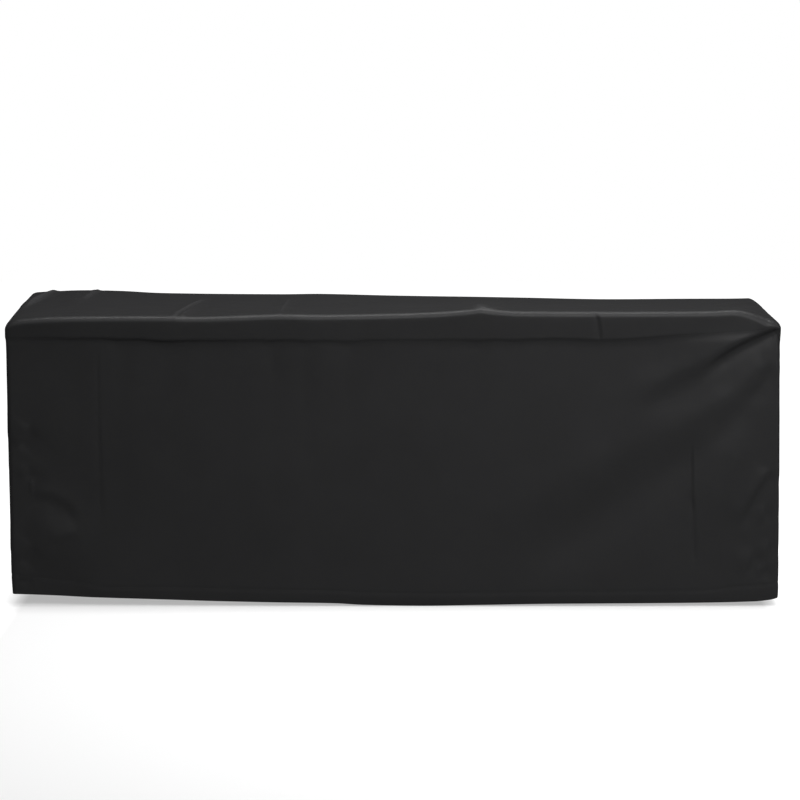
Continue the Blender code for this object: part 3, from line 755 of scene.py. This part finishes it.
def sew_sheet(name, points, sizes, material, crease_highlight=None):
    """A grid moved onto the given points, with its pattern map in metres and the cloth's thickness."""
    rows, columns = points.shape[:2]
    bpy.ops.object.select_all(action="DESELECT")
    bpy.ops.mesh.primitive_grid_add(x_subdivisions=columns - 1, y_subdivisions=rows - 1, size=2.0)
    sheet = bpy.context.object
    sheet.name = name
    mesh = sheet.data
    mesh.name = name
    flat = np.empty(len(mesh.vertices) * 3)
    mesh.vertices.foreach_get("co", flat)
    flat = flat.reshape(-1, 3)
    i = np.rint((flat[:, 0] + 1) / 2 * (columns - 1)).astype(int)
    j = np.rint((flat[:, 1] + 1) / 2 * (rows - 1)).astype(int)
    mesh.vertices.foreach_set("co", points[j, i].ravel())

    across, along = path_lengths(points, 1), path_lengths(points, 0)
    corners = np.empty(len(mesh.loops), dtype=int)
    mesh.loops.foreach_get("vertex_index", corners)
    pattern = np.stack((across[i[corners]], along[j[corners]]), axis=-1)
    mesh.uv_layers[0].name = "cloth_metres"
    mesh.uv_layers[0].data.foreach_set("uv", pattern.ravel())
    # The painted highlight along the top's creases rides on the points as an attribute.
    if crease_highlight is not None:
        mesh.attributes.new("crease_highlight", "FLOAT", "POINT").data.foreach_set("value", crease_highlight[j, i])
    mesh.update()

    shell = sheet.modifiers.new("Cloth", "SOLIDIFY")
    shell.thickness = sizes.cloth
    shell.offset = -1.0
    bpy.ops.object.modifier_apply(modifier=shell.name)
    bpy.ops.object.shade_smooth_by_angle(angle=math.radians(SMOOTH_ANGLE))
    mesh.materials.clear()
    mesh.materials.append(material)
    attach(sheet, "root")
    return sheet, float(across[-1]), float(along[-1])


class Nodes:
    """Adds and joins the nodes of one material."""

    def __init__(self, name):
        self.material = bpy.data.materials.new(name)
        self.material.use_nodes = True
        self.tree = self.material.node_tree
        self.shader = self.tree.nodes["Principled BSDF"]

    def add(self, kind, inputs=(), **settings):
        node = self.tree.nodes.new(kind)
        for field, value in settings.items():
            setattr(node, field, value)
        for socket, value in dict(inputs).items():
            if isinstance(value, bpy.types.NodeSocket):
                self.tree.links.new(value, node.inputs[socket])
            else:
                node.inputs[socket].default_value = value
        return node

    def join(self, output, socket):
        self.tree.links.new(output, socket)


def weave(nodes, pitch):
    """Height of a plain weave, from the sheet's own map in metres."""
    place = nodes.add("ShaderNodeUVMap", uv_map="cloth_metres").outputs["UV"]
    turns = 2 * math.pi / pitch
    scaled = nodes.add("ShaderNodeMapping", {"Vector": place, "Scale": (turns, turns, 1.0)})
    parts = nodes.add("ShaderNodeSeparateXYZ", {0: scaled.outputs[0]})
    waves = [
        nodes.add("ShaderNodeMath", {0: parts.outputs[axis]}, operation="SINE").outputs[0]
        for axis in ("X", "Y")
    ]
    return nodes.add("ShaderNodeMath", {0: waves[0], 1: waves[1]}, operation="MULTIPLY").outputs[0]


def black_cloth(name, colour, roughness, looks):
    """Fine black cloth: uneven dye, a painted highlight along the top's creases, a plain weave and soft
    small wrinkles.
    """
    nodes = Nodes(name)
    place = nodes.add("ShaderNodeTexCoord").outputs["Object"]
    dye = nodes.add(
        "ShaderNodeTexNoise", {"Vector": place, "Scale": 9.0, "Detail": 5.0, "Roughness": 0.6}
    ).outputs["Fac"]
    tint = nodes.add(
        "ShaderNodeMapRange", {"Value": dye, "To Min": DYE_RANGE[0], "To Max": DYE_RANGE[1]}
    ).outputs[0]
    # Painted highlight: the base colour is raised along the top's creases, where light would catch them.
    crease_highlight = nodes.add("ShaderNodeAttribute", attribute_name="crease_highlight").outputs["Fac"]
    crease_highlight_gain = nodes.add("ShaderNodeMapRange", {"Value": crease_highlight, "To Min": 1.0, "To Max": looks.crease_highlight_gain})
    dye_and_highlight = nodes.add("ShaderNodeMath", {0: tint, 1: crease_highlight_gain.outputs[0]}, operation="MULTIPLY").outputs[0]
    dyed = nodes.add(
        "ShaderNodeVectorMath", {0: (*colour,), "Scale": dye_and_highlight}, operation="SCALE"
    ).outputs[0]
    nodes.join(dyed, nodes.shader.inputs["Base Color"])

    rub = nodes.add(
        "ShaderNodeTexNoise", {"Vector": place, "Scale": 26.0, "Detail": 4.0, "Roughness": 0.55}
    ).outputs["Fac"]
    matt = nodes.add(
        "ShaderNodeMapRange",
        {"Value": rub, "To Min": roughness - MATT_SPREAD, "To Max": roughness + MATT_SPREAD},
    ).outputs[0]
    nodes.join(matt, nodes.shader.inputs["Roughness"])

    wrinkles = nodes.add(
        "ShaderNodeTexNoise",
        {"Vector": place, "Scale": 30.0, "Detail": 3.0, "Roughness": 0.5, "Distortion": 0.4},
    ).outputs["Fac"]
    soft = nodes.add("ShaderNodeBump", {"Strength": 0.35, "Distance": 0.0012, "Height": wrinkles})
    fine = nodes.add(
        "ShaderNodeBump",
        {"Strength": 0.25, "Distance": 0.00008, "Height": weave(nodes, looks.weave_pitch),
         "Normal": soft.outputs[0]},
    )
    nodes.join(fine.outputs[0], nodes.shader.inputs["Normal"])
    nodes.shader.inputs["Specular IOR Level"].default_value = CLOTH_LUSTRE
    return nodes.material


def top_cloth():
    """The top's cloth, made once."""
    looks = bpy.context.scene.cover_looks
    name = "fine black cloth of the top"
    return bpy.data.materials.get(name) or black_cloth(name, looks.top_colour, TOP_ROUGHNESS, looks)


def drop_cloth():
    """The cloth that the four drops share, made once."""
    looks = bpy.context.scene.cover_looks
    name = "fine black cloth of the drops"
    return bpy.data.materials.get(name) or black_cloth(name, looks.drop_colour, DROP_ROUGHNESS, looks)


def hem_thread():
    """Twisted black sewing thread."""
    nodes = Nodes("hem thread")
    place = nodes.add("ShaderNodeTexCoord").outputs["Object"]
    twist = nodes.add(
        "ShaderNodeTexNoise", {"Vector": place, "Scale": 900.0, "Detail": 2.0}
    ).outputs["Fac"]
    ply = nodes.add("ShaderNodeBump", {"Strength": 0.4, "Distance": 0.0001, "Height": twist})
    nodes.join(ply.outputs[0], nodes.shader.inputs["Normal"])
    colour = bpy.context.scene.cover_looks.thread_colour
    nodes.shader.inputs["Base Color"].default_value = (*colour, 1.0)
    nodes.shader.inputs["Roughness"].default_value = THREAD_ROUGHNESS
    nodes.shader.inputs["Specular IOR Level"].default_value = THREAD_LUSTRE
    return nodes.material


def hem_stitches(name, middle, places, sizes, thread):
    """Row of lock stitches along one drop's hem, each a copy of one small stitch."""
    bpy.ops.object.select_all(action="DESELECT")
    bpy.ops.mesh.primitive_uv_sphere_add(segments=8, ring_count=5, radius=0.5)
    row = bpy.context.object
    row.name = name
    stitch = row.data
    shape = np.empty(len(stitch.vertices) * 3)
    stitch.vertices.foreach_get("co", shape)
    shape = shape.reshape(-1, 3) * (STITCH_SHARE * sizes.stitch_pitch, sizes.thread, sizes.thread)
    faces = [tuple(face.vertices) for face in stitch.polygons]

    length = places[-1] - places[0] + CORNER_ARC
    count = int(length / sizes.stitch_pitch)
    u = middle + (places[0] + places[-1]) / 2 + (np.arange(count) - (count - 1) / 2) * length / count

    def on_line(u):
        return drop_points(u, hem_height(u) + hem_line(u, sizes), sizes)

    _, _, out_x, out_y = outline(u)
    out = np.stack((out_x, out_y, np.zeros(count)), axis=-1)
    along = on_line(u + sizes.stitch_pitch / 4) - on_line(u - sizes.stitch_pitch / 4)
    along /= np.linalg.norm(along, axis=1, keepdims=True)
    up = np.cross(out, along)
    axes = np.stack((along, out, up), axis=1)
    points = on_line(u)[:, None, :] + shape @ axes
    copies = [
        tuple(corner + number * len(shape) for corner in face) for number in range(count) for face in faces
    ]
    row.data = bpy.data.meshes.new(name)
    row.data.from_pydata(points.reshape(-1, 3).tolist(), [], copies)
    bpy.data.meshes.remove(stitch)
    row.data.materials.append(thread)
    bpy.ops.object.shade_smooth()
    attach(row, "root")


def hang_drop(name, middle, places, rows, node):
    """Sews one drop and lets it stand for its solid."""
    sizes = bpy.context.scene.cover_sizes
    points = drop_panel_points(middle, places, rows, sizes)
    sheet, width, height = sew_sheet(name, points, sizes, drop_cloth())
    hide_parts(node)


class COVER_OT_top(bpy.types.Operator):
    """Lays the top panel, whose border turns down over the edges"""

    bl_idname = "cover.top"
    bl_label = "Top Panel"

    def execute(self, context):
        sizes = context.scene.cover_sizes
        points = top_points(sizes)
        # The top's points also carry the share of the painted highlight along its creases.
        sheet, width, depth = sew_sheet("top_sheet", points, sizes, top_cloth(), crease_highlight_share(points))
        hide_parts("top_panel")
        return {"FINISHED"}


class COVER_OT_stitches(bpy.types.Operator):
    """Sews the rows of stitches that hold the hems of the drops"""

    bl_idname = "cover.stitches"
    bl_label = "Hem Stitches"

    def execute(self, context):
        sizes = context.scene.cover_sizes
        thread = hem_thread()
        for name, middle, places in (
            ("front_stitches", FRONT_MIDDLE, COLUMNS), ("back_stitches", BACK_MIDDLE, -COLUMNS[::-1]),
            ("left_end_stitches", LEFT_MIDDLE, DEPTHS), ("right_end_stitches", RIGHT_MIDDLE, DEPTHS),
        ):
            hem_stitches(name, middle, places, sizes, thread)
        return {"FINISHED"}


class COVER_OT_front(bpy.types.Operator):
    """Hangs the front drop with its drag folds and pressed creases"""

    bl_idname = "cover.front"
    bl_label = "Front Drop"

    def execute(self, context):
        hang_drop("front_sheet", FRONT_MIDDLE, COLUMNS, LONG_ROWS, "front_panel")
        return {"FINISHED"}


class COVER_OT_back(bpy.types.Operator):
    """Hangs the back drop"""

    bl_idname = "cover.back"
    bl_label = "Back Drop"

    def execute(self, context):
        hang_drop("back_sheet", BACK_MIDDLE, -COLUMNS[::-1], LONG_ROWS, "back_panel")
        return {"FINISHED"}


class COVER_OT_ends(bpy.types.Operator):
    """Hangs the two end drops"""

    bl_idname = "cover.ends"
    bl_label = "End Drops"

    def execute(self, context):
        hang_drop("left_end_sheet", LEFT_MIDDLE, DEPTHS, END_ROWS, "left_end_panel")
        hang_drop("right_end_sheet", RIGHT_MIDDLE, DEPTHS, END_ROWS, "right_end_panel")
        return {"FINISHED"}


def floor_paper(studio):
    """Matt paper with a painted glow that only the camera sees, stronger beside and behind the cover than in
    front, which throws little light back onto the cover.
    """
    nodes = Nodes("floor paper")
    seen = nodes.add("ShaderNodeLightPath").outputs["Is Camera Ray"]
    share = nodes.add(
        "ShaderNodeMapRange", {"Value": seen, "To Min": studio.floor_bounce, "To Max": 1.0}
    ).outputs[0]
    tone = nodes.add("ShaderNodeVectorMath", {0: (*studio.floor_colour,), "Scale": share}, operation="SCALE")
    nodes.join(tone.outputs[0], nodes.shader.inputs["Base Color"])

    # Painted glow: the paper shines to the camera most beside and behind the cover, which whitens the shade
    # that would fall there.
    place = nodes.add(
        "ShaderNodeSeparateXYZ", {0: nodes.add("ShaderNodeTexCoord").outputs["Object"]}
    )
    sideways = nodes.add("ShaderNodeMath", {0: place.outputs["X"]}, operation="ABSOLUTE").outputs[0]
    beside, behind = (
        nodes.add("ShaderNodeMapRange", {"Value": value, "From Min": start, "From Max": full}).outputs[0]
        for value, (start, full) in ((sideways, GLOW_BESIDE), (place.outputs["Y"], GLOW_BEHIND))
    )
    away = nodes.add("ShaderNodeMath", {0: beside, 1: behind}, operation="MAXIMUM").outputs[0]
    glow = nodes.add(
        "ShaderNodeMapRange", {"Value": away, "To Min": studio.glow_near, "To Max": studio.glow_far}
    ).outputs[0]
    seen_glow = nodes.add("ShaderNodeMath", {0: seen, 1: glow}, operation="MULTIPLY").outputs[0]
    nodes.shader.inputs["Emission Color"].default_value = (1.0, 1.0, 1.0, 1.0)
    nodes.join(seen_glow, nodes.shader.inputs["Emission Strength"])
    nodes.shader.inputs["Roughness"].default_value = FLOOR_ROUGHNESS
    nodes.shader.inputs["Specular IOR Level"].default_value = 0.0
    return nodes.material


def facing(towards):
    """Rotation that turns a light's or camera's -Z axis along a direction."""
    x, y, z = towards / np.linalg.norm(towards)
    return (math.acos(-z), 0.0, math.atan2(-x, y))


def hang_softbox(softbox, power):
    """Rectangular light at its place, turned to face what it lights, and unseen by the camera."""
    lamp = bpy.data.lights.new(softbox.name, "AREA")
    lamp.shape = "RECTANGLE"
    lamp.size, lamp.size_y = softbox.size
    lamp.energy = power
    box = bpy.data.objects.new(softbox.name, lamp)
    box.location = softbox.place
    box.rotation_euler = facing(np.array(softbox.aim) - np.array(softbox.place))
    box.visible_camera = False
    bpy.context.scene.collection.objects.link(box)


class COVER_OT_studio(bpy.types.Operator):
    """Sets the floor, the soft light and the camera"""

    bl_idname = "cover.studio"
    bl_label = "Studio"

    def execute(self, context):
        scene = context.scene
        studio = scene.cover_studio
        bpy.ops.object.select_all(action="DESELECT")
        bpy.ops.mesh.primitive_plane_add(size=studio.floor_size, location=(0.0, 0.0, FLOOR_HEIGHT))
        floor = context.object
        floor.name = "floor"
        floor.data.materials.append(floor_paper(studio))

        key = bpy.data.lights.new("key", "SUN")
        key.energy = studio.key_strength
        key.angle = math.radians(KEY_ANGLE)
        key_object = bpy.data.objects.new("key", key)
        key_object.rotation_euler = facing(np.array(KEY_DIRECTION))
        scene.collection.objects.link(key_object)
        hang_softbox(OVERHEAD_BOX, studio.overhead_power)
        hang_softbox(FRONT_BOX, studio.front_power)
        hang_softbox(SIDE_BOX, studio.side_power)

        world = bpy.data.worlds.new("studio_air")
        world.use_nodes = True
        tree = world.node_tree
        seen = tree.nodes.new("ShaderNodeLightPath").outputs["Is Camera Ray"]
        strength = tree.nodes.new("ShaderNodeMapRange")
        strength.inputs["To Min"].default_value = studio.air
        strength.inputs["To Max"].default_value = 1.0
        tree.links.new(seen, strength.inputs["Value"])
        tree.links.new(strength.outputs[0], tree.nodes["Background"].inputs["Strength"])
        tree.nodes["Background"].inputs["Color"].default_value = (1.0, 1.0, 1.0, 1.0)
        scene.world = world

        lens = bpy.data.cameras.new("camera")
        lens.lens = CAMERA_LENS
        lens.sensor_width = CAMERA_SENSOR
        lens.clip_end = CAMERA_SIGHT
        camera = bpy.data.objects.new("camera", lens)
        camera.location = CAMERA_PLACE
        camera.rotation_euler = (math.radians(90 - CAMERA_TILT), 0.0, 0.0)
        scene.collection.objects.link(camera)
        scene.camera = camera
        scene.view_settings.view_transform = "Standard"
        return {"FINISHED"}


class COVER_PT_sidebar(bpy.types.Panel):
    """Sizes, looks and pieces of the piano cover"""

    bl_label = "Piano Cover"
    bl_idname = "COVER_PT_sidebar"
    bl_space_type = "VIEW_3D"
    bl_region_type = "UI"
    bl_category = "Piano Cover"

    def draw(self, context):
        layout = self.layout
        for group in (context.scene.cover_sizes, context.scene.cover_looks, context.scene.cover_studio):
            box = layout.box()
            for field in group.__annotations__:
                box.prop(group, field)
        for operator in OPERATORS:
            layout.operator(operator.bl_idname)


OPERATORS = (
    COVER_OT_top, COVER_OT_stitches, COVER_OT_front, COVER_OT_back, COVER_OT_ends, COVER_OT_studio,
)
GROUPS = {"cover_sizes": CoverSizes, "cover_looks": CoverLooks, "cover_studio": CoverStudio}


def register():
    for kind in (*GROUPS.values(), *OPERATORS, COVER_PT_sidebar):
        bpy.utils.register_class(kind)
    for field, group in GROUPS.items():
        setattr(bpy.types.Scene, field, bpy.props.PointerProperty(type=group))


def unregister():
    for field in GROUPS:
        delattr(bpy.types.Scene, field)
    for kind in reversed((*GROUPS.values(), *OPERATORS, COVER_PT_sidebar)):
        bpy.utils.unregister_class(kind)


def main():
    register()
    bpy.ops.cover.top()
    bpy.ops.cover.stitches()
    bpy.ops.cover.front()
    bpy.ops.cover.back()
    bpy.ops.cover.ends()
    bpy.ops.cover.studio()


if __name__ == "__main__":
    main()
